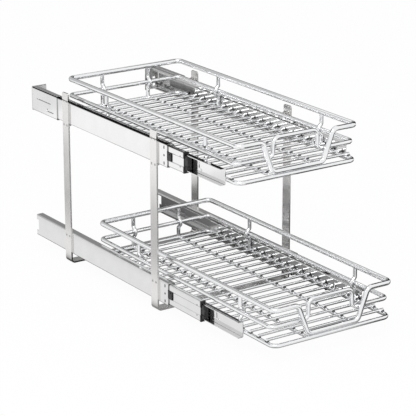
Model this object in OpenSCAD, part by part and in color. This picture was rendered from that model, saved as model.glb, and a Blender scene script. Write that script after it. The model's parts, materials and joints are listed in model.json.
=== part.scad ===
// Two-tier pull-out basket unit for a base cabinet.
// Two welded wire baskets ride on telescopic ball runners. The runners hang between two
// flat steel straps, each bent to a U, that screw to the cabinet floor.
// X runs from left to right, -Y is the front and +Z is up. The origin lies on the cabinet
// floor, midway between the four floor screws. All lengths are in millimetres.

/* [Straps] */
// Overall width over the straps
frame_w = 289; // [240:1:420]
// Width of the strap steel, front to back
strap_w = 20.6; // [16:0.2:30]
// Thickness of the strap steel
strap_t = 3; // [2:0.25:4]
// Height of the strap's two posts
post_h = 330; // [320:1:420]
// Inside radius of the strap's two bottom bends
strap_bend = 5; // [3:0.5:8]
// Radius of the corners at the top of each post
post_corner = 2.5; // [1:0.5:5]
// Distance from the front strap to the rear strap, centre to centre
strap_pitch = 298.5; // [240:0.5:340]
// Bore of the floor screw holes
floor_hole_d = 5.5; // [4:0.1:7]
// Distance between the two floor screw holes of a strap
floor_hole_pitch = 180; // [120:1:220]
// Diameter of the rivets and locating pins in the posts
pin_d = 4; // [3:0.1:5]
// Distance between the two pins of a pair
pin_pitch = 10.7; // [8:0.1:13]
// Height of the pins' heads outside the post
pin_head = 0.8; // [0.4:0.1:1.5]
// How far the locating pins reach past the post, over and under a runner
pin_reach = 5; // [3:0.5:8]
// Height of the rivets above the underside of the lower runners
rivet_rise = 34.4; // [30:0.1:35]

/* [Runners] */
// Height of a runner
runner_h = 41.5; // [40:0.1:48]
// Width of a runner's outer member
runner_w = 15.5; // [15:0.1:18]
// Length of each of a runner's three members
runner_l = 462; // [440:1:520]
// Thickness of the runner steel
gauge = 1.2; // [1:0.05:1.3]
// Inside radius of the bends in the runner steel
runner_bend = 1; // [0.8:0.1:1.2]
// Height of the upper runners' underside above the floor
upper_z = 271.3; // [200:0.1:280]
// Height of the lower runners' underside above the floor
lower_z = 18.9; // [12:0.1:40]
// How far the runners reach ahead of the front strap's centre line
runner_lead = 38.8; // [30:0.1:60]
// How far the upper runners' middle members are drawn out
upper_middle_out = 46.5; // [20:0.5:180]
// How far the upper basket is drawn out
upper_basket_out = 152; // [140:0.5:220]
// How far the lower runners' middle members are drawn out
lower_middle_out = 96.5; // [20:0.5:180]
// How far the lower basket is drawn out
lower_basket_out = 204.5; // [150:0.5:240]
// Width of the pressed band along the middle member's web
band_w = 15.6; // [12:0.1:16]
// Depth of the pressed band
band_depth = 1.1; // [0.9:0.05:1.3]
// Depth of the outer member's turned-down lips
lip_h = 5; // [4.5:0.1:5.5]

/* [Ball cages] */
// Diameter of the balls
ball_d = 2.6; // [2.4:0.05:2.7]
// Number of balls in a row
balls = 5; // [3:1:8]
// Length of a cage
cage_l = 210; // [180:1:215]
// Setback of a cage from the member's front end when its tier is shut
cage_setback = 131; // [130:1:140]
// Thickness of the cage steel
cage_t = 0.4; // [0.3:0.05:0.45]

/* [Rear brackets] */
// Length of a rear bracket
bracket_l = 92; // [70:1:110]
// Depth of the bracket's flanges over the runner
bracket_flange = 12; // [10:0.5:13]
// Thickness of the bracket steel
bracket_t = 1.5; // [1:0.1:2]
// How far the bracket's tab reaches in behind the runner
tab_reach = 30; // [20:0.5:36]
// Bore of the screw hole in the tab
tab_hole_d = 6.5; // [4:0.1:7]
// Room between the runner's rear end and the tab
tab_gap = 2; // [1:0.5:4]

/* [Baskets] */
// Length of a basket, between the centre lines of its front and rear rails
basket_l = 541.7; // [500:0.1:600]
// How far the upper basket's front leads its runners
upper_lead = 30.3; // [20:0.1:60]
// How far the lower basket's front leads its runners
lower_lead = 80.9; // [40:0.1:100]
// Height of the base frame's centre line above the underside of the runner
base_rise = 15.5; // [14:0.1:16.5]
// Height of the handle rail above the base frame
mid_rise = 31.1; // [31:0.1:36]
// Height of the top rail above the base frame
top_rise = 62.5; // [58:0.1:80]
// Diameter of the top rail
top_d = 9; // [7:0.1:10]
// Diameter of the handle rail
mid_d = 7.5; // [6:0.1:7.6]
// Diameter of the base frame's wire
base_d = 7.5; // [6:0.1:8]
// Diameter of the uprights
upright_d = 7; // [5:0.1:7.5]
// Diameter of the two support wires under the floor
support_d = 6; // [4:0.1:7]
// Diameter of the floor wires
floor_d = 5; // [3:0.1:6]
// Centre-line radius of the rails' corners
rail_bend = 10; // [8:0.5:16]
// Centre-line radius of the base frame's corners
base_bend = 13; // [8:0.5:16]
// Width of the front dip at the level of the top rail
dip_top_w = 147.2; // [130:0.1:160]
// Width of the front dip at its foot
dip_foot_w = 104.4; // [96:0.1:115]
// Centre-line radius of the dip's bends
dip_bend = 11; // [8:0.5:13]
// Width of the handle between its legs' centre lines
handle_w = 92; // [80:0.1:96]
// Height of the handle's grip above the base frame
handle_rise = 64.5; // [58:0.1:80]
// Centre-line radius at the handle's feet
foot_bend = 9; // [6:0.5:10]
// Centre-line radius at the handle's top corners
grip_bend = 12; // [8:0.5:14]
// Distance from the first floor wire to the front rail
floor_first = 18.9; // [16:0.1:24]
// Distance between floor wires
floor_pitch = 23.35; // [20:0.05:30]
// Distance between the two support wires
support_pitch = 102; // [60:1:140]
// Distance between the two back uprights
back_pitch = 101; // [60:1:140]
// Floor wire that the front uprights stand behind
front_wire = 3; // [2:1:6]
// Floor wire that the rear uprights stand before, counted from the last
rear_wire = 4; // [2:1:6]

/* [Fits] */
// Gap left at every welded joint and rest
weld_gap = 0.1; // [0.05:0.05:0.15]
// Running gap beside a ball
ball_gap = 0.3; // [0.25:0.05:0.35]
// Room between nested members for a cage
cage_slot = 0.9; // [0.85:0.05:1]
// Running gap between the inner and the middle member
member_gap = 0.8; // [0.6:0.1:1]
// How far the inner member's web stands proud of the runner
inner_proud = 0.6; // [0.5:0.1:0.8]
// Sliding gap between a bracket and its runner
bracket_gap = 0.3; // [0.2:0.05:0.4]
// Radial gap of a pin in its hole
pin_fit = 0.05; // [0.02:0.01:0.1]

/* [Hidden] */
$fn = 40;
LEFT = -1;
RIGHT = 1;
through = 60;
// How far a cut runs past the steel
past = 1;

// Runner cross-section: u runs from the strap towards the middle, v runs up
ball_room = ball_d / 2 + ball_gap;
outer_ball = [runner_w - gauge - ball_room, runner_h - gauge - ball_room];
middle_u = gauge + cage_slot + gauge / 2;
middle_v = runner_h - gauge - cage_slot - gauge / 2;
race_v = outer_ball[1] - ball_room - gauge / 2;
race_in = 1.2;
race_out = 0.9;
race_rise = 1.6;
race_u = outer_ball[0] - race_in;
race_end = outer_ball[0] + race_out;
step_u = race_u - race_rise;
band_u = middle_u + band_depth;
inner_u = runner_w + inner_proud - gauge / 2;
inner_v = race_v - gauge - member_gap;
inner_end = band_u + gauge / 2 + cage_slot + weld_gap;
inner_ball_in = 2.8;
inner_ball = [inner_end + inner_ball_in, (middle_v + inner_v) / 2];
web_plane = runner_w + inner_proud;

// Runner placing
runner_x = frame_w / 2 - strap_t;
runner_y = -strap_pitch / 2 - runner_lead;
UPPER = [upper_z, upper_middle_out, upper_basket_out, upper_lead];
LOWER = [lower_z, lower_middle_out, lower_basket_out, lower_lead];
function z_of(tier) = tier[0];
function middle_out(tier) = tier[1];
function basket_out(tier) = tier[2];
function lead_of(tier) = tier[3];

// Holes and cut-outs in the runners
hole_y = 9.2;
hole_d = 4;
hole_slot = [3, 6.5];
hole_slot_rise = 14.2;
notch = [7, 21.7];
key_slot = [3, 12];
key_slot_at = [76, 22.3];
key_hole_d = 5;
key_hole_at = [70, 15.4];
stud_d = 2.4;
stud_y = 9;
stud_rise = 9.4;

// Black plastic stops and bumpers
stop_t = 1.6;
stop_w = band_w - 1.2;
stop_tongue = 10;
stop_tail = 13;
stop_eye_d = 3;
stop_eye_at = [6, 4.6];
bumper_lip = 3;
bumper_w = 10;
bumper_tail = 12;
bumper_tail_w = 4;
bumper_window = 12;
nose_l = 10;
nose_gap = 1;
nose_end = inner_u - gauge / 2 - nose_gap;
nose_room = 0.6;
nose_corner = 2.4;

// Basket wires, measured from the base frame's centre line at the basket's front
web_x = runner_x - web_plane;
rail_x = web_x - upright_d / 2 - weld_gap;
base_x = web_x - base_d / 2 - weld_gap;
mid_y = top_d / 2 + mid_d / 2 + weld_gap;
dip_z = top_d / 2 + base_d / 2 + weld_gap;
floor_z = base_d / 2 + floor_d / 2 + weld_gap;
support_z = base_d / 2 - support_d / 2;
floor_end = base_x + base_d / 4;
floor_wires = floor((basket_l - floor_first - floor_d - base_d) / floor_pitch) + 1;
function floor_y(i) = floor_first + i * floor_pitch;
beside_wire = floor_d / 2 + upright_d / 2 + 3 * weld_gap;
upright_ys = [floor_y(front_wire) + beside_wire, floor_y(floor_wires - 1 - rear_wire) - beside_wire];
jog_r = mid_d / 2 + upright_d / 2 + weld_gap;
jog = jog_r * sqrt(2);
jog_bend = 5;
upright_line = [[0, top_rise], [0, mid_rise + jog], [jog, mid_rise], [0, mid_rise - jog], [0, 0]];
upright_bends = [0, jog_bend, jog_r, jog_bend, 0];

// Rear bracket
tab_hole_at = [10, 7];
tab_slot = [7, 4];
tab_slot_at = [10, 21];
face_slot = [52, 2.4];
face_slot_at = [43, 24.3];
low_slot = [27, 5.6];
low_slot_at = [66, 10];

// ---- Bent wire and sheet ----

function unit(v) = v / norm(v);
function item(list, i) = list[(i + len(list)) % len(list)];
function radius_at(bend, i) = is_list(bend) ? item(bend, i) : bend;
function heading(path, i) = unit(item(path, i + 1) - item(path, i));
function turn_at(path, i) = acos(heading(path, i - 1) * heading(path, i));
function is_end(path, i, closed) = !closed && (i == 0 || i == len(path) - 1);
function trim_at(path, bend, i, closed) =
    is_end(path, i, closed) ? 0 : radius_at(bend, i) * tan(turn_at(path, i) / 2);
function side_of(way, across) =
    !is_undef(across) ? across : unit(cross(way, abs(way[2]) < 0.9 ? [0, 0, 1] : [1, 0, 0]));

// Puts the children's axes along x, y and z at a point
module place(at, x, y, z) {
    multmatrix([
        [x[0], y[0], z[0], at[0]],
        [x[1], y[1], z[1], at[1]],
        [x[2], y[2], z[2], at[2]],
        [0, 0, 0, 1],
    ]) children();
}

// On a path with a bend other than a right angle, the bends are this much thicker than the
// straights, which lap into them
swell = 0.04;
lap = 0.05;
function skew_at(path, i, closed) = is_end(path, i, closed) ? 0 : abs(turn_at(path, i) - 90);
function lap_of(path, closed) = max([for (i = [0 : len(path) - 1]) skew_at(path, i, closed)]) > 0 ? lap : 0;

// Carries a flat section along a path with round bends; the section's Y lies along across,
// and it adds $swell to its thickness
module along(path, bend, closed = false, across = undef) {
    last = len(path) - 1;
    reach = lap_of(path, closed);
    for (i = [0 : closed ? last : last - 1]) {
        next = (i + 1) % (last + 1);
        way = heading(path, i);
        start = trim_at(path, bend, i, closed) - (is_end(path, i, closed) ? 0 : reach);
        stop = trim_at(path, bend, next, closed) - (is_end(path, next, closed) ? 0 : reach);
        side = side_of(way, across);
        $swell = 0;
        place(path[i] + way * start, cross(side, way), side, way)
            linear_extrude(norm(path[next] - path[i]) - start - stop)
                children();
    }
    for (i = [closed ? 0 : 1 : closed ? last : last - 1]) {
        way = heading(path, i - 1);
        axis = unit(cross(way, heading(path, i)));
        out = cross(way, axis);
        r = radius_at(bend, i);
        $swell = reach > 0 ? swell : 0;
        place(path[i] - way * trim_at(path, bend, i, closed) - out * r, out, way, axis)
            rotate_extrude(angle = turn_at(path, i))
                translate([r, 0])
                    children();
    }
}

// Round wire bent along a path
module wire(path, d, bend = 0, closed = false) {
    along(path, bend, closed)
        circle(d = d + $swell);
}

// Sheet profile in u and v, bent from one strip and run back from y = 0
module section_strip(line, bend, t, l) {
    translate([0, l / 2, 0])
        along([for (p = line) [p[0], 0, p[1]]], bend, across = [0, 1, 0])
            square([t + $swell, l], center = true);
}

// Copies a half profile, given from its web to its edge, above and below the runner's middle
function mirrored(half) = concat(
    [for (i = [len(half) - 1 : -1 : 0]) half[i]],
    [for (p = half) [p[0], runner_h - p[1]]]);
function mirrored_bends(half) = concat([for (i = [len(half) - 1 : -1 : 0]) half[i]], half);

// Straight rod along X, Y or Z through a point
module rod_x(at, d, l) {
    translate(at)
        rotate([0, 90, 0])
            cylinder(d = d, h = l, center = true);
}

module rod_y(at, d, l) {
    translate(at)
        rotate([90, 0, 0])
            cylinder(d = d, h = l, center = true);
}

// Slot through a web that faces X, long in Z or in Y
module web_slot(at, size) {
    w = min(size);
    run = (max(size) - w) / 2;
    way = size[0] > size[1] ? [0, run, 0] : [0, 0, run];
    translate(at) {
        cube([through, max(size[0] - (way[1] > 0 ? w : 0), 0.01),
              max(size[1] - (way[2] > 0 ? w : 0), 0.01)], center = true);
        for (s = [-1, 1])
            rod_x(s * way, w, through);
    }
}

// ---- Straps ----

module post_corner_cut(y, side) {
    translate([0, y + side * (strap_w / 2 - post_corner), post_h - post_corner])
        difference() {
            translate([-frame_w / 2 - past, side > 0 ? 0 : -post_corner - past, 0])
                cube([frame_w + 2 * past, post_corner + past, post_corner + past]);
            rod_x([0, 0, 0], 2 * post_corner, frame_w + 4 * past);
        }
}

// Heights of the pairs of pins in a post: under and over the upper runner, and through the lower one
runner_pins = [upper_z - pin_d / 2 - weld_gap, upper_z + runner_h + pin_d / 2 + weld_gap];
rivet_z = lower_z + rivet_rise;

module pin_places(y, heights) {
    for (side = [LEFT, RIGHT], s = [-1, 1], z = heights)
        translate([side * frame_w / 2, y + s * pin_pitch / 2, z])
            rotate([0, -side * 90, 0])
                children();
}

module strap(y) {
    color("silver")
        difference() {
            translate([0, y, 0])
                along([
                    [-frame_w / 2 + strap_t / 2, 0, post_h],
                    [-frame_w / 2 + strap_t / 2, 0, strap_t / 2],
                    [frame_w / 2 - strap_t / 2, 0, strap_t / 2],
                    [frame_w / 2 - strap_t / 2, 0, post_h],
                ], strap_bend + strap_t / 2, across = [0, 1, 0])
                    square([strap_t, strap_w], center = true);
            for (side = [-1, 1]) {
                post_corner_cut(y, side);
                translate([side * floor_hole_pitch / 2, y, 0])
                    cylinder(d = floor_hole_d, h = 3 * strap_t, center = true);
            }
            pin_places(y, concat(runner_pins, [rivet_z]))
                cylinder(d = pin_d + 2 * pin_fit, h = 3 * strap_t, center = true);
        }
}

module front_strap() {
    strap(-strap_pitch / 2);
}

module rear_strap() {
    strap(strap_pitch / 2);
}

// A pin with a domed head outside the post
module pin(l) {
    cylinder(d = pin_d, h = l);
    intersection() {
        translate([0, 0, pin_d - pin_head])
            sphere(d = 2 * pin_d);
        translate([0, 0, -pin_head - weld_gap / 2])
            cylinder(d = 1.4 * pin_d, h = pin_head);
    }
    translate([0, 0, -weld_gap / 2])
        cylinder(d = pin_d, h = weld_gap);
}

module strap_pins() {
    color("gainsboro")
        for (y = [-strap_pitch / 2, strap_pitch / 2]) {
            pin_places(y, runner_pins)
                pin(strap_t + pin_reach);
            pin_places(y, [rivet_z])
                pin(strap_t + gauge);
        }
}

// ---- Runners ----

// Places a left-hand runner piece, drawn out by a distance, or its mirror image on the right
module on_runner(tier, side, out) {
    mirror([side > 0 ? 1 : 0, 0, 0])
        translate([-runner_x, runner_y - out, z_of(tier)])
            children();
}

module outer_member(tier, side) {
    half = [
        [gauge / 2, runner_h - gauge / 2],
        [runner_w - gauge / 2, runner_h - gauge / 2],
        [runner_w - gauge / 2, runner_h - lip_h],
    ];
    bends = [runner_bend + gauge / 2, ball_room + gauge / 2, 0];
    color("silver")
        on_runner(tier, side, 0)
            difference() {
                section_strip(mirrored(half), mirrored_bends(bends), gauge, runner_l);
                rod_x([0, hole_y, runner_h / 2], hole_d, through);
                for (s = [-1, 1])
                    translate([0, hole_y, runner_h / 2 + s * hole_slot_rise])
                        web_slot([0, 0, 0], hole_slot);
                translate([-past, runner_l - notch[0], runner_h / 2 - notch[1] / 2])
                    cube([gauge + 2 * past, notch[0] + past, notch[1]]);
                if (tier == LOWER)
                    for (y = [0, strap_pitch], s = [-1, 1])
                        rod_x([0, runner_lead + y + s * pin_pitch / 2, rivet_rise],
                              pin_d + 2 * pin_fit, 2 * gauge + past);
            }
}

// The middle member's steps carry the outer balls, and its flanges run over the inner balls
module middle_member(tier, side) {
    slope = band_depth / 2;
    half = [
        [band_u, runner_h / 2 + band_w / 2 - slope],
        [middle_u, runner_h / 2 + band_w / 2 + slope],
        [middle_u, middle_v],
        [step_u, middle_v],
        [race_u, race_v],
        [race_end, race_v],
    ];
    bends = [gauge, gauge, runner_bend + gauge / 2, gauge, gauge, 0];
    color("lightgrey")
        on_runner(tier, side, middle_out(tier))
            difference() {
                section_strip(mirrored(half), mirrored_bends(bends), gauge, runner_l);
                for (s = [-1, 1])
                    rod_x([middle_u, stud_y, runner_h / 2 + s * stud_rise],
                          stud_d + 2 * pin_fit, 2 * gauge + past);
            }
}

module inner_member(tier, side) {
    half = [[inner_u, inner_v], [inner_end, inner_v]];
    bends = [runner_bend + gauge / 2, 0];
    color("silver")
        on_runner(tier, side, basket_out(tier))
            difference() {
                section_strip(mirrored(half), mirrored_bends(bends), gauge, runner_l);
                translate([0, key_slot_at[0], key_slot_at[1]])
                    web_slot([0, 0, 0], key_slot);
                rod_x([0, key_hole_at[0], key_hole_at[1]], key_hole_d, through);
            }
}

// A stop riveted inside the outer member's front end; its tongue lies in the middle member's band
module front_stop() {
    mid = runner_h / 2;
    difference() {
        union() {
            translate([gauge, -stop_tongue, mid - stop_w / 2])
                cube([stop_t, stop_tongue + stop_tail, stop_w]);
            rod_x([gauge / 2, hole_y, mid], hole_d - 2 * pin_fit, gauge);
        }
        rod_x([0, -stop_eye_at[0], mid + stop_eye_at[1]], stop_eye_d, through);
    }
}

module front_stops(tier) {
    color("dimgray")
        for (side = [LEFT, RIGHT])
            on_runner(tier, side, 0)
                front_stop();
}

// A block with its front corners rounded, which reaches ahead from the origin
module nose(size, corner) {
    translate([0, corner - size[1], 0])
        cube([size[0], size[1] - corner, size[2]]);
    translate([corner, -size[1], 0])
        cube([size[0] - 2 * corner, corner, size[2]]);
    for (u = [corner, size[0] - corner])
        translate([u, corner - size[1], 0])
            cylinder(r = corner, h = size[2]);
}

// The bumper caps the middle member's front end, and its nose guides the inner member
module bumper() {
    mid = runner_h / 2;
    face = middle_u - gauge / 2;
    web_in = middle_u + gauge / 2;
    half = middle_v + gauge / 2 - mid;
    inner_half = inner_v - mid + gauge / 2 + member_gap / 2;
    tail_end = inner_end - cage_slot / 2;
    tail_rise = band_w / 2 + band_depth / 2 + gauge / 2;
    nose_at = band_u - gauge / 2 + ball_gap;
    nose_h = 2 * (inner_v - mid) - gauge - 2 * nose_room;
    difference() {
        union() {
            difference() {
                translate([face, -bumper_lip, mid - half])
                    cube([bumper_w, bumper_lip, 2 * half]);
                translate([tail_end, -bumper_lip - past, mid - inner_half])
                    cube([bumper_w, bumper_lip + 2 * past, 2 * inner_half]);
                translate([face - past, -bumper_lip - past, mid - stop_w / 2 - ball_gap])
                    cube([band_depth + past, bumper_lip + 2 * past, stop_w + 2 * ball_gap]);
            }
            translate([nose_at, 0, mid - nose_h / 2])
                nose([nose_end - nose_at, nose_l, nose_h], nose_corner);
        }
        translate([face - past, -nose_l - past, mid - bumper_window / 2])
            cube([band_depth + gauge + ball_gap + past, nose_l + 2 * past, bumper_window]);
    }
    for (s = [-1, 1]) {
        translate([web_in, -bumper_lip, mid + (s > 0 ? tail_rise : -tail_rise - bumper_tail_w)])
            cube([tail_end - web_in, bumper_lip + bumper_tail, bumper_tail_w]);
        rod_x([middle_u, stud_y, mid + s * stud_rise], stud_d, gauge);
    }
}

module bumpers(tier) {
    color("dimgray")
        for (side = [LEFT, RIGHT])
            on_runner(tier, side, middle_out(tier))
                bumper();
}

// ---- Ball cages ----

ball_pitch = cage_l / balls;
pocket_room = 0.4;
pocket_d = ball_d + pocket_room;
cage_shoulder = 1.6;
cage_lap = 0.7;
cage_edge = 1.2;

module ball_places(at) {
    for (i = [0 : balls - 1], v = [at[1], runner_h - at[1]])
        translate([at[0], (i + 0.5) * ball_pitch, v])
            children();
}

function cage_out(tier, inner) = inner
    ? (middle_out(tier) + basket_out(tier)) / 2 - cage_setback
    : middle_out(tier) / 2 - cage_setback;

outer_cage_v = runner_h - gauge - cage_slot / 2;
outer_cage_u = gauge + cage_slot / 2;
inner_cage_u = inner_end - cage_slot / 2;

module outer_cages(tier) {
    half = [
        [outer_cage_u, outer_cage_v],
        [outer_ball[0] - cage_shoulder, outer_cage_v],
        outer_ball + cage_lap * [cage_shoulder, outer_ball[1] - outer_cage_v],
    ];
    bends = [gauge, cage_t, 0];
    color("gainsboro")
        for (side = [LEFT, RIGHT])
            on_runner(tier, side, cage_out(tier, false))
                difference() {
                    section_strip(mirrored(half), mirrored_bends(bends), cage_t, cage_l);
                    ball_places(outer_ball)
                        sphere(d = pocket_d);
                }
}

module inner_cages(tier) {
    half = [[inner_cage_u, inner_ball[1]], inner_ball + [cage_edge, 0]];
    bends = [gauge, 0];
    color("gainsboro")
        for (side = [LEFT, RIGHT])
            on_runner(tier, side, cage_out(tier, true))
                difference() {
                    section_strip(mirrored(half), mirrored_bends(bends), cage_t, cage_l);
                    ball_places(inner_ball)
                        sphere(d = pocket_d);
                }
}

module cage_balls(tier, inner) {
    color("white")
        for (side = [LEFT, RIGHT])
            on_runner(tier, side, cage_out(tier, inner))
                ball_places(inner ? inner_ball : outer_ball)
                    sphere(d = ball_d);
}

// ---- Rear brackets ----

module rear_bracket(side) {
    skin = bracket_gap + bracket_t / 2;
    edge = bracket_flange - bracket_t / 2;
    rear = runner_l + tab_gap + bracket_t / 2;
    bend = runner_bend + bracket_t / 2;
    front = rear - bend - bracket_l;
    color("silver")
        on_runner(UPPER, side, 0)
            difference() {
                union() {
                    translate([0, front, 0])
                        section_strip([
                            [edge - skin, -skin], [-skin, -skin],
                            [-skin, runner_h + skin], [edge - skin, runner_h + skin],
                        ], bend, bracket_t, bracket_l);
                    translate([0, 0, runner_h / 2])
                        along([[-skin, rear - 2 * bend, 0], [-skin, rear, 0], [tab_reach, rear, 0]],
                              bend, across = [0, 0, 1])
                            square([bracket_t, runner_h + 2 * skin + bracket_t], center = true);
                }
                web_slot([-skin, runner_l - face_slot_at[0], face_slot_at[1]], face_slot);
                web_slot([-skin, runner_l - low_slot_at[0], low_slot_at[1]], low_slot);
                rod_y([tab_hole_at[0], rear, tab_hole_at[1]], tab_hole_d, 2 * bracket_t);
                translate([tab_slot_at[0], rear, tab_slot_at[1]])
                    cube([tab_slot[0], 2 * bracket_t, tab_slot[1]], center = true);
            }
}

// ---- Baskets ----

module in_basket(tier) {
    translate([0, runner_y - basket_out(tier) - lead_of(tier), z_of(tier) + base_rise])
        children();
}

module top_rail(tier) {
    path = [
        [-rail_x, 0, top_rise], [-dip_top_w / 2, 0, top_rise],
        [-dip_foot_w / 2, 0, dip_z], [dip_foot_w / 2, 0, dip_z],
        [dip_top_w / 2, 0, top_rise], [rail_x, 0, top_rise],
        [rail_x, basket_l, top_rise], [-rail_x, basket_l, top_rise],
    ];
    bends = [rail_bend, dip_bend, dip_bend, dip_bend, dip_bend, rail_bend, rail_bend, rail_bend];
    color("whitesmoke")
        in_basket(tier)
            wire(path, top_d, bends, closed = true);
}

module handle_rail(tier) {
    path = [
        [-rail_x, mid_y, mid_rise], [-handle_w / 2, mid_y, mid_rise],
        [-handle_w / 2, mid_y, handle_rise], [handle_w / 2, mid_y, handle_rise],
        [handle_w / 2, mid_y, mid_rise], [rail_x, mid_y, mid_rise],
        [rail_x, basket_l, mid_rise], [-rail_x, basket_l, mid_rise],
    ];
    bends = [rail_bend, foot_bend, grip_bend, grip_bend, foot_bend, rail_bend, rail_bend, rail_bend];
    color("whitesmoke")
        in_basket(tier)
            wire(path, mid_d, bends, closed = true);
}

module base_frame(tier) {
    color("whitesmoke")
        in_basket(tier)
            wire([
                [-base_x, 0, 0], [base_x, 0, 0], [base_x, basket_l, 0], [-base_x, basket_l, 0],
            ], base_d, base_bend, closed = true);
}

// The supports' ends are coped to the base frame's front and rear wires, and to the back uprights' feet
module support_wires(tier) {
    color("gainsboro")
        in_basket(tier)
            difference() {
                for (x = [-support_pitch / 2, support_pitch / 2])
                    wire([[x, 0, support_z], [x, basket_l, support_z]], support_d);
                for (y = [0, basket_l])
                    rod_x([0, y, 0], base_d + 2 * weld_gap, 2 * base_x);
                for (x = [-back_pitch / 2, back_pitch / 2])
                    translate([x, basket_l, 0])
                        cylinder(d = upright_d + 2 * weld_gap, h = 2 * base_d, center = true);
            }
}

module floor_wires(tier) {
    color("gainsboro")
        in_basket(tier)
            for (i = [0 : floor_wires - 1])
                rod_x([0, floor_y(i), floor_z], floor_d, 2 * floor_end);
}

// Each upright runs from the top rail round the inside of the handle rail to the base frame
module side_uprights(tier) {
    color("whitesmoke")
        in_basket(tier)
            difference() {
                for (side = [LEFT, RIGHT], y = upright_ys)
                    wire([for (p = upright_line) [side * (rail_x - p[0]), y, p[1]]],
                         upright_d, upright_bends);
                for (side = [LEFT, RIGHT]) {
                    rod_y([side * rail_x, basket_l / 2, top_rise], top_d + 2 * weld_gap, basket_l);
                    rod_y([side * base_x, basket_l / 2, 0], base_d + 2 * weld_gap, basket_l);
                    translate([side * base_x, basket_l / 2, -base_d])
                        cube([2 * base_d, basket_l, 2 * base_d], center = true);
                }
            }
}

module back_uprights(tier) {
    color("whitesmoke")
        in_basket(tier)
            difference() {
                for (x = [-back_pitch / 2, back_pitch / 2])
                    wire([for (p = upright_line) [x, basket_l - p[0], p[1]]],
                         upright_d, upright_bends);
                rod_x([0, basket_l, top_rise], top_d + 2 * weld_gap, 2 * rail_x);
                rod_x([0, basket_l, 0], base_d + 2 * weld_gap, 2 * base_x);
                translate([0, basket_l, -base_d])
                    cube([2 * base_x, 2 * base_d, 2 * base_d], center = true);
            }
}

front_strap();
rear_strap();
strap_pins();
outer_member(UPPER, LEFT);  // upper_left_outer
outer_member(UPPER, RIGHT);  // upper_right_outer
outer_member(LOWER, LEFT);  // lower_left_outer
outer_member(LOWER, RIGHT);  // lower_right_outer
front_stops(UPPER);  // upper_front_stops
front_stops(LOWER);  // lower_front_stops
rear_bracket(LEFT);  // left_rear_bracket
rear_bracket(RIGHT);  // right_rear_bracket
middle_member(UPPER, LEFT);  // upper_left_middle
middle_member(UPPER, RIGHT);  // upper_right_middle
bumpers(UPPER);  // upper_bumpers
middle_member(LOWER, LEFT);  // lower_left_middle
middle_member(LOWER, RIGHT);  // lower_right_middle
bumpers(LOWER);  // lower_bumpers
outer_cages(UPPER);  // upper_outer_cages
cage_balls(UPPER, false);  // upper_outer_balls
inner_cages(UPPER);  // upper_inner_cages
cage_balls(UPPER, true);  // upper_inner_balls
outer_cages(LOWER);  // lower_outer_cages
cage_balls(LOWER, false);  // lower_outer_balls
inner_cages(LOWER);  // lower_inner_cages
cage_balls(LOWER, true);  // lower_inner_balls
inner_member(UPPER, LEFT);  // upper_left_inner
inner_member(UPPER, RIGHT);  // upper_right_inner
top_rail(UPPER);  // upper_top_rail
handle_rail(UPPER);  // upper_handle_rail
base_frame(UPPER);  // upper_base_frame
support_wires(UPPER);  // upper_support_wires
floor_wires(UPPER);  // upper_floor_wires
side_uprights(UPPER);  // upper_side_uprights
back_uprights(UPPER);  // upper_back_uprights
inner_member(LOWER, LEFT);  // lower_left_inner
inner_member(LOWER, RIGHT);  // lower_right_inner
top_rail(LOWER);  // lower_top_rail
handle_rail(LOWER);  // lower_handle_rail
base_frame(LOWER);  // lower_base_frame
support_wires(LOWER);  // lower_support_wires
floor_wires(LOWER);  // lower_floor_wires
side_uprights(LOWER);  // lower_side_uprights
back_uprights(LOWER);  // lower_back_uprights
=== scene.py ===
"""Looks of the two-tier pull-out basket: bright wire, satin straps, zinc-plated runners and
black plastic stops, in a white studio with cards for the metal to mirror."""

import json
import math

import bmesh
import bpy
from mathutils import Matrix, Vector


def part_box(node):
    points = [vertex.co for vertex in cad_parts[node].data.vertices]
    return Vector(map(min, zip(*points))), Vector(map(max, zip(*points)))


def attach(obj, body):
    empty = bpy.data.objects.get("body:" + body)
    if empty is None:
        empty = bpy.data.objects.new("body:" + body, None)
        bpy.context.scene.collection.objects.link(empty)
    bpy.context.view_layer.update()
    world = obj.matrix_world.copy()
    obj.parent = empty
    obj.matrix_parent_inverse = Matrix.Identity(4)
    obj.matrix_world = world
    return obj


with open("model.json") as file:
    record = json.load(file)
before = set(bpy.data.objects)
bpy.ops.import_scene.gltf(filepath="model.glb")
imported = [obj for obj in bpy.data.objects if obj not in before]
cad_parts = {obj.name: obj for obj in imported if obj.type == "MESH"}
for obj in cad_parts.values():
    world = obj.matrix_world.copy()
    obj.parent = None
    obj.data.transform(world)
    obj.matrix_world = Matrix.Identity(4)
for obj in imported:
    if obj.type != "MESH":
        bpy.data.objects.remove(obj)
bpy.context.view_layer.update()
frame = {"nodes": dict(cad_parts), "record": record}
NODES = frame["nodes"]
BODY_OF = {
    name: body
    for body, names in frame["record"]["behaviour"]["bodies"].items()
    for name in names
}

MM = 0.001
TIERS = ("upper", "lower")
WHITE = (1, 1, 1, 1)
MIX_A, MIX_B, MIX_RESULT = 6, 7, 2  # the colour sockets of a Mix node

# ---- Values of the metals and the plastic ----

ALL_WAYS = (1, 1, 1)
ALONG_RUNNER = (1.0, 0.03, 1.0)
UP_POST = (1.0, 1.0, 0.03)

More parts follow.
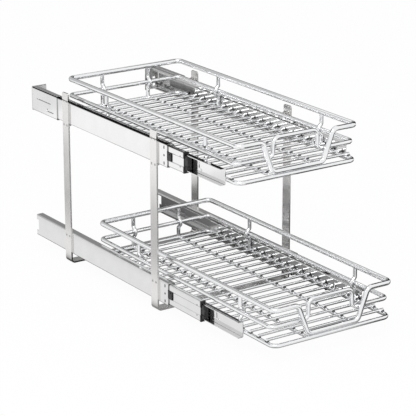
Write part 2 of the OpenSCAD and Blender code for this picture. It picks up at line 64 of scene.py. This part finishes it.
# Each metal: its dark and its light colour; its least and its most roughness, and what the grain
# adds to it; the strength of its ripple; and the way that its grain is drawn.
METALS = {
    "wire_chrome": ((0.84, 0.85, 0.86), (0.90, 0.90, 0.91), (0.03, 0.04, 0.0), 0.0, ALL_WAYS),
    "strap_steel": ((0.76, 0.75, 0.74), (0.80, 0.79, 0.78), (0.20, 0.24, 0.02), 0.004, UP_POST),
    "pin_steel": ((0.42, 0.42, 0.41), (0.52, 0.52, 0.51), (0.25, 0.35, 0.05), 0.02, ALL_WAYS),
    "runner_steel": ((0.72, 0.72, 0.72), (0.76, 0.76, 0.76), (0.07, 0.10, 0.02), 0.002,
                     ALONG_RUNNER),
    "cage_steel": ((0.50, 0.50, 0.48), (0.60, 0.60, 0.58), (0.22, 0.32, 0.08), 0.02, ALL_WAYS),
    "ball_steel": ((0.72, 0.72, 0.72), (0.78, 0.78, 0.78), (0.04, 0.08, 0.01), 0.0, ALL_WAYS),
    # weld_steel is near black: partly the welds' dull, rough metal and partly painted shade, the
    # contact shadow where the floor wires cross the support wires and the base frame
    "weld_steel": ((0.10, 0.10, 0.10), (0.16, 0.16, 0.16), (0.30, 0.42, 0.05), 0.02, ALL_WAYS),
}
CLOUD_SCALE = 35.0
GRAIN_SCALE = 900.0
RIPPLE_SCALE = 140.0
RIPPLE_DEPTH = 0.0004

PLASTIC_DARK = (0.006, 0.006, 0.006)
PLASTIC_LIGHT = (0.016, 0.016, 0.017)
PLASTIC_ROUGH = (0.22, 0.36)
PLASTIC_GLOSS = 0.45
PATCH_SCALE = 120.0
SPARK_SCALE = 2600.0
SPARK_STRENGTH = 0.25
SPARK_DEPTH = 0.0001

# ---- Values of the welds ----

STRAND_GAP = 3 * MM  # vertices further apart than this, across the wires, are of two wires
WELD_HALF = (3.2 * MM, 4.0 * MM, 1.5 * MM)
WELD_CORNERS = 4
WELD_LOBES = 0.16
WELD_LEAN = 0.08
WELD_FLATNESS = 0.7
WELD_AROUND = 16
WELD_RINGS = 7
POLE_MERGE = 0.01 * MM

# ---- Values of the studio and the camera ----

SKY_LIGHT = (0.97, 0.98, 1.0, 1)
SKY_STRENGTH = 0.85
FLOOR_SIZE = 8.0
FLOOR_DROP = 0.3 * MM
FLOOR_WHITE = (0.9, 0.9, 0.9, 1)
FLOOR_GLOW = 0.95  # the share of the background's white where the floor is seen or mirrored

KEY_PLACE = (-1.4, -1.6, 2.2)
KEY_TARGET = (0, -0.1, 0.15)
KEY_SIZE = (1.4, 1.0)
KEY_POWER = 22

FLAT = (0, 0, 0)
BACK = (90, 0, 0)
BACK_LEFT = (90, 0, 48)
BACK_RIGHT = (90, 0, -34)
RIGHT = (90, 0, -72)

# Each card: its name and centre, its turn in degrees, half its width and height, the width of its
# soft edge, and how light it is at its lower and at its upper edge. The flat ones lie on the
# floor, a hair apart where they overlap, and the higher one is the one that shows.
FLAGS = (
    ("wall_flag", (0.3, 1.6, 0.95), BACK, (1.3, 0.8), 0.1, 0.5, 0.6),
    ("left_flag", (-1.45, 1.15, 2.1), BACK_LEFT, (0.55, 0.8), 0.1, 0.04, 0.04),
    ("right_flag", (1.5, 0.48, 1.55), RIGHT, (0.6, 1.25), 0.1, 0.03, 0.03),
    ("back_low_flag", (0.82, 1.2, 0.3), BACK_RIGHT, (0.8, 0.38), 0.03, 0.3, 0.3),
    ("black_flag", (0.754, 1.245, 0.87), BACK_RIGHT, (0.34, 0.14), 0.03, 0.01, 0.01),
    ("shade_flag", (0.11, -0.05, -0.25 * MM), FLAT, (0.26, 0.46), 0.02, 0.4, 0.12),
    # painted shadow on the floor under the baskets' right side, which only reflections see
    ("side_shadow_flag", (0.25, -0.05, -0.22 * MM), FLAT, (0.12, 0.46), 0.06, 0.04, 0.04),
    ("behind_flag", (0.7, 0.32, -0.2 * MM), FLAT, (0.42, 0.82), 0.2, 0.1, 0.1),
    ("far_flag", (-0.02, 1.1, -0.1 * MM), FLAT, (0.46, 0.32), 0.08, 0.04, 0.04),
    ("middle_flag", (-0.37, 0.4, -0.05 * MM), FLAT, (0.06, 0.4), 0.1, 0.58, 0.6),
    # painted patch of light on the floor, brighter than white, which only reflections see and which
    # lights nothing
    ("bright_flag", (-0.68, 0.78, -0.08 * MM), FLAT, (0.1, 0.3), 0.04, 1.2, 1.2),
    # painted shadow of the drawn-out baskets on the floor in front, which only reflections see
    ("front_shadow_flag", (0.27, -0.76, -0.1 * MM), FLAT, (0.12, 0.14), 0.1, 0.05, 0.05),
    ("corner_flag", (1.3, -0.75, -0.1 * MM), FLAT, (0.45, 0.5), 0.15, 0.12, 0.12),
    # painted shade on the floor under the unit's left side, which the right posts mirror
    ("post_shade_flag", (-0.085, 0.2, -0.04 * MM), FLAT, (0.05, 0.16), 0.02, 0.02, 0.02),
    ("bracket_flag", (-0.48, -0.71, -0.04 * MM), FLAT, (0.05, 0.06), 0.05, 0.05, 0.05),
    # over the upper left runner's top flange, which is black in the photograph
    # painted dark reflection: the near-black card lies just over the flange, and only the flange's
    # reflection sees it
    ("flange_dark_reflection_flag", (-0.139, -0.02, 0.3145), FLAT, (0.008, 0.3), 0.0005, 0.01, 0.01),
)
HIDDEN_RAYS = ("visible_camera", "visible_diffuse", "visible_shadow", "visible_volume_scatter")

CAMERA_PLACE = (-1.8297, -2.7806, 1.2276)
CAMERA_TILT = 71.613
CAMERA_TURN = -34.366
LENS = 164.2
SENSOR = 36.0
CLIP_START = 0.05
CLIP_END = 50.0


# ---- Objects and nodes ----

def link(name, data):
    """An object with this data, in the scene."""
    obj = bpy.data.objects.new(name, data)
    bpy.context.scene.collection.objects.link(obj)
    return obj


def card(name, x, y):
    """The mesh of a flat card that reaches this far to each side of its centre."""
    mesh = bpy.data.meshes.new(name)
    mesh.from_pydata([(-x, -y, 0), (x, -y, 0), (x, y, 0), (-x, y, 0)], [], [(0, 1, 2, 3)])
    return mesh


def cleared_tree(owner):
    """The node tree of a material or world, without the nodes that it starts with."""
    owner.use_nodes = True
    owner.node_tree.nodes.clear()
    return owner.node_tree


def add(tree, kind, **settings):
    """A node whose properties are set as they are, and whose sockets are set by name, with
    underscores for spaces."""
    node = tree.nodes.new(kind)
    for key, value in settings.items():
        if hasattr(node, key):
            setattr(node, key, value)
        else:
            node.inputs[key.replace("_", " ")].default_value = value
    return node


def coordinates(tree, stretch=ALL_WAYS):
    """Object coordinates, stretched so that a pattern can run along one way."""
    coord = add(tree, "ShaderNodeTexCoord")
    mapping = add(tree, "ShaderNodeMapping", Scale=stretch)
    tree.links.new(coord.outputs["Object"], mapping.inputs["Vector"])
    return mapping.outputs["Vector"]


def noise(tree, vector, scale, detail=3.0):
    node = add(tree, "ShaderNodeTexNoise", Scale=scale, Detail=detail, Roughness=0.5)
    tree.links.new(vector, node.inputs["Vector"])
    return node.outputs["Fac"]


def remap(tree, value, low, high, start=0.3, stop=0.7):
    """The value, stretched from one range to another; noise mostly lies from 0.3 to 0.7."""
    node = add(tree, "ShaderNodeMapRange", From_Min=start, From_Max=stop, To_Min=low, To_Max=high)
    tree.links.new(value, node.inputs["Value"])
    return node.outputs["Result"]


def combine(tree, operation, first, second):
    """Two linked values in a Math node."""
    node = add(tree, "ShaderNodeMath", operation=operation)
    tree.links.new(first, node.inputs[0])
    tree.links.new(second, node.inputs[1])
    return node.outputs["Value"]


def tint(tree, value, dark, light):
    """Two colours mixed by a value."""
    node = add(tree, "ShaderNodeMix", data_type="RGBA")
    node.inputs[MIX_A].default_value = (*dark, 1)
    node.inputs[MIX_B].default_value = (*light, 1)
    tree.links.new(value, node.inputs["Factor"])
    return node.outputs[MIX_RESULT]


def bump(tree, shader, height, strength, distance):
    node = add(tree, "ShaderNodeBump", Strength=strength, Distance=distance)
    tree.links.new(height, node.inputs["Height"])
    tree.links.new(node.outputs["Normal"], shader.inputs["Normal"])


def blend(tree, share, first, second, out):
    """Two shaders, mixed by a share and sent to the output node."""
    mix = add(tree, "ShaderNodeMixShader")
    tree.links.new(share, mix.inputs[0])
    tree.links.new(first.outputs[0], mix.inputs[1])
    tree.links.new(second.outputs[0], mix.inputs[2])
    tree.links.new(mix.outputs[0], out.inputs[0])


# ---- Materials ----

def new_material(name):
    """A material with only its Principled shader; returns it, its node tree and the shader."""
    mat = bpy.data.materials.new(name)
    mat.use_nodes = True
    tree = mat.node_tree
    return mat, tree, tree.nodes["Principled BSDF"]


def plated_metal(name, dark, light, rough, ripple, grain):
    """Plated steel: a slight drift in its colour, cloudy roughness with a fine grain, and the
    soft ripple under the plating."""
    least, most, extra = rough
    mat, tree, shader = new_material(name)
    shader.inputs["Metallic"].default_value = 1.0
    place = coordinates(tree)
    cloud = noise(tree, place, CLOUD_SCALE)
    fine = noise(tree, coordinates(tree, grain), GRAIN_SCALE, detail=2.0)
    colour = tint(tree, remap(tree, cloud, 0, 1), dark, light)
    roughness = combine(tree, "ADD", remap(tree, cloud, least, most), remap(tree, fine, 0, extra))
    tree.links.new(colour, shader.inputs["Base Color"])
    tree.links.new(roughness, shader.inputs["Roughness"])
    bump(tree, shader, noise(tree, place, RIPPLE_SCALE, detail=1.0), ripple, RIPPLE_DEPTH)
    return mat


def black_plastic():
    """Moulded acetal: near black, with a fine spark texture and duller patches where it rubs."""
    mat, tree, shader = new_material("black_plastic")
    shader.inputs["Specular IOR Level"].default_value = PLASTIC_GLOSS
    place = coordinates(tree)
    patch = noise(tree, place, PATCH_SCALE)
    grain = noise(tree, place, SPARK_SCALE, detail=1.0)
    tree.links.new(tint(tree, patch, PLASTIC_DARK, PLASTIC_LIGHT), shader.inputs["Base Color"])
    tree.links.new(remap(tree, patch, *PLASTIC_ROUGH), shader.inputs["Roughness"])
    bump(tree, shader, grain, SPARK_STRENGTH, SPARK_DEPTH)
    return mat


def make_materials():
    materials = {name: plated_metal(name, *values) for name, values in METALS.items()}
    materials["black_plastic"] = black_plastic()
    return materials


def dress_nodes(materials):
    for part in frame["record"]["subparts"]:
        for slot in NODES[part["node"]].material_slots:
            slot.material = materials[part["material_slot"]]


# ---- Welds ----

def strand_middles(node, axis):
    """The middle of each parallel wire in a node, across the wires."""
    places = sorted(vertex.co[axis] for vertex in NODES[node].data.vertices)
    strands = [[places[0], places[0]]]
    for place in places[1:]:
        if place - strands[-1][1] > STRAND_GAP:
            strands.append([place, place])
        strands[-1][1] = place
    return [sum(strand) / 2 for strand in strands]


def weld_bead(mesh, centre, number):
    """The metal squeezed out where two wires cross: a flat bead that spreads into the corners."""
    rings = []
    for ring in range(WELD_RINGS):
        rise = math.pi * (ring / (WELD_RINGS - 1) - 0.5)
        loop = []
        for step in range(WELD_AROUND):
            turn = 2 * math.pi * step / WELD_AROUND
            lobes = WELD_LOBES * math.cos(WELD_CORNERS * turn)
            spread = 1 - lobes + WELD_LEAN * math.sin(turn + number)
            flat = math.cos(rise) ** WELD_FLATNESS * spread
            place = (flat * math.cos(turn), flat * math.sin(turn), math.sin(rise))
            spot = [c + half * value for c, half, value in zip(centre, WELD_HALF, place)]
            loop.append(mesh.verts.new(spot))
        rings.append(loop)
    for low, high in zip(rings, rings[1:]):
        for step in range(WELD_AROUND):
            after = (step + 1) % WELD_AROUND
            mesh.faces.new((low[step], low[after], high[after], high[step]))
    bmesh.ops.remove_doubles(mesh, verts=rings[0] + rings[-1], dist=POLE_MERGE)


def make_welds(tier, material):
    """A bead at each crossing of the floor wires with the support wires and the base frame."""
    frame_low, frame_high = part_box(f"{tier}_base_frame")
    half_wire = (frame_high[2] - frame_low[2]) / 2
    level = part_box(f"{tier}_floor_wires")[0][2]
    supports = strand_middles(f"{tier}_support_wires", 0)
    across = [frame_low[0] + half_wire, *supports, frame_high[0] - half_wire]
    mesh = bmesh.new()
    for x in across:
        for number, y in enumerate(strand_middles(f"{tier}_floor_wires", 1)):
            weld_bead(mesh, (x, y, level), number)
    data = bpy.data.meshes.new(f"{tier}_welds")
    mesh.to_mesh(data)
    mesh.free()
    data.shade_smooth()
    # the near-black weld material is partly painted shade of the crossings
    data.materials.append(material)
    welds = link(f"{tier}_welds", data)
    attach(welds, BODY_OF[f"{tier}_floor_wires"])


# ---- Studio ----

def seen_or_mirrored(tree):
    """1 for rays from the camera, and for those that metal or glass sends on; 0 for light."""
    path = add(tree, "ShaderNodeLightPath")
    total = path.outputs["Is Camera Ray"]
    for name in ("Is Glossy Ray", "Is Transmission Ray"):
        total = combine(tree, "MAXIMUM", total, path.outputs[name])
    return total


def make_world():
    world = bpy.data.worlds.new("studio")
    tree = cleared_tree(world)
    out = add(tree, "ShaderNodeOutputWorld")
    light = add(tree, "ShaderNodeBackground", Color=SKY_LIGHT, Strength=SKY_STRENGTH)
    shown = add(tree, "ShaderNodeBackground", Color=WHITE, Strength=1.0)
    blend(tree, seen_or_mirrored(tree), light, shown, out)
    bpy.context.scene.world = world


def make_floor():
    """A white floor that keeps a faint shadow and otherwise shows as the background does."""
    mesh = card("floor", FLOOR_SIZE / 2, FLOOR_SIZE / 2)
    floor = link("floor", mesh)
    floor.location.z = -FLOOR_DROP
    mat = bpy.data.materials.new("floor_white")
    tree = cleared_tree(mat)
    out = add(tree, "ShaderNodeOutputMaterial")
    paint = add(tree, "ShaderNodeBsdfDiffuse", Color=FLOOR_WHITE)
    glow = add(tree, "ShaderNodeEmission", Color=WHITE, Strength=1.0)
    share = add(tree, "ShaderNodeMath", operation="MULTIPLY")
    share.inputs[1].default_value = FLOOR_GLOW
    tree.links.new(seen_or_mirrored(tree), share.inputs[0])
    blend(tree, share.outputs["Value"], paint, glow, out)
    mesh.materials.append(mat)


def lamp(name, place, target, size, power):
    data = bpy.data.lights.new(name, "AREA")
    data.shape = "RECTANGLE"
    data.size, data.size_y = size
    data.energy = power
    obj = link(name, data)
    obj.location = place
    obj.rotation_euler = (Vector(target) - Vector(place)).to_track_quat("-Z", "Y").to_euler()


def distance_past(tree, place, half):
    """How far a place lies outside the card's plain part, and 0 on it."""
    for operation, vector in (("ABSOLUTE", None), ("SUBTRACT", (*half, 0)), ("MAXIMUM", (0, 0, 0))):
        step = add(tree, "ShaderNodeVectorMath", operation=operation)
        tree.links.new(place, step.inputs[0])
        if vector:
            step.inputs[1].default_value = vector
        place = step.outputs["Vector"]
    reach = add(tree, "ShaderNodeVectorMath", operation="LENGTH")
    tree.links.new(place, reach.inputs[0])
    return reach.outputs["Value"]


def flag(name, centre, turn, half, soft, low, high):
    """A soft-edged card that only mirror-like surfaces see, shaded from its lower edge to its
    upper edge."""
    mesh = card(name, half[0] + soft, half[1] + soft)
    obj = link(name, mesh)
    obj.location = centre
    obj.rotation_euler = [math.radians(angle) for angle in turn]
    mat = bpy.data.materials.new(name)
    tree = cleared_tree(mat)
    out = add(tree, "ShaderNodeOutputMaterial")
    glow = add(tree, "ShaderNodeEmission", Strength=1.0)
    clear = add(tree, "ShaderNodeBsdfTransparent")
    place = add(tree, "ShaderNodeTexCoord").outputs["Object"]
    split = add(tree, "ShaderNodeSeparateXYZ")
    tree.links.new(place, split.inputs[0])
    height = remap(tree, split.outputs["Y"], 0, 1, -half[1], half[1])
    tree.links.new(tint(tree, height, (low, low, low), (high, high, high)), glow.inputs["Color"])
    shown = remap(tree, distance_past(tree, place, half), 1, 0, 0, soft)
    blend(tree, shown, clear, glow, out)
    mesh.materials.append(mat)
    for ray in HIDDEN_RAYS:
        setattr(obj, ray, False)


def make_studio():
    make_world()
    make_floor()
    lamp("key", KEY_PLACE, KEY_TARGET, KEY_SIZE, KEY_POWER)
    for values in FLAGS:
        flag(*values)


# ---- Camera ----

def make_camera():
    data = bpy.data.cameras.new("camera")
    data.lens = LENS
    data.sensor_width = SENSOR
    data.sensor_fit = "AUTO"
    data.clip_start = CLIP_START
    data.clip_end = CLIP_END
    camera = link("camera", data)
    camera.location = CAMERA_PLACE
    camera.rotation_euler = (math.radians(CAMERA_TILT), 0, math.radians(CAMERA_TURN))
    bpy.context.scene.camera = camera


make_camera()
materials = make_materials()
dress_nodes(materials)
for tier in TIERS:
    make_welds(tier, materials["weld_steel"])
make_studio()
bpy.context.scene.view_settings.view_transform = "Standard"
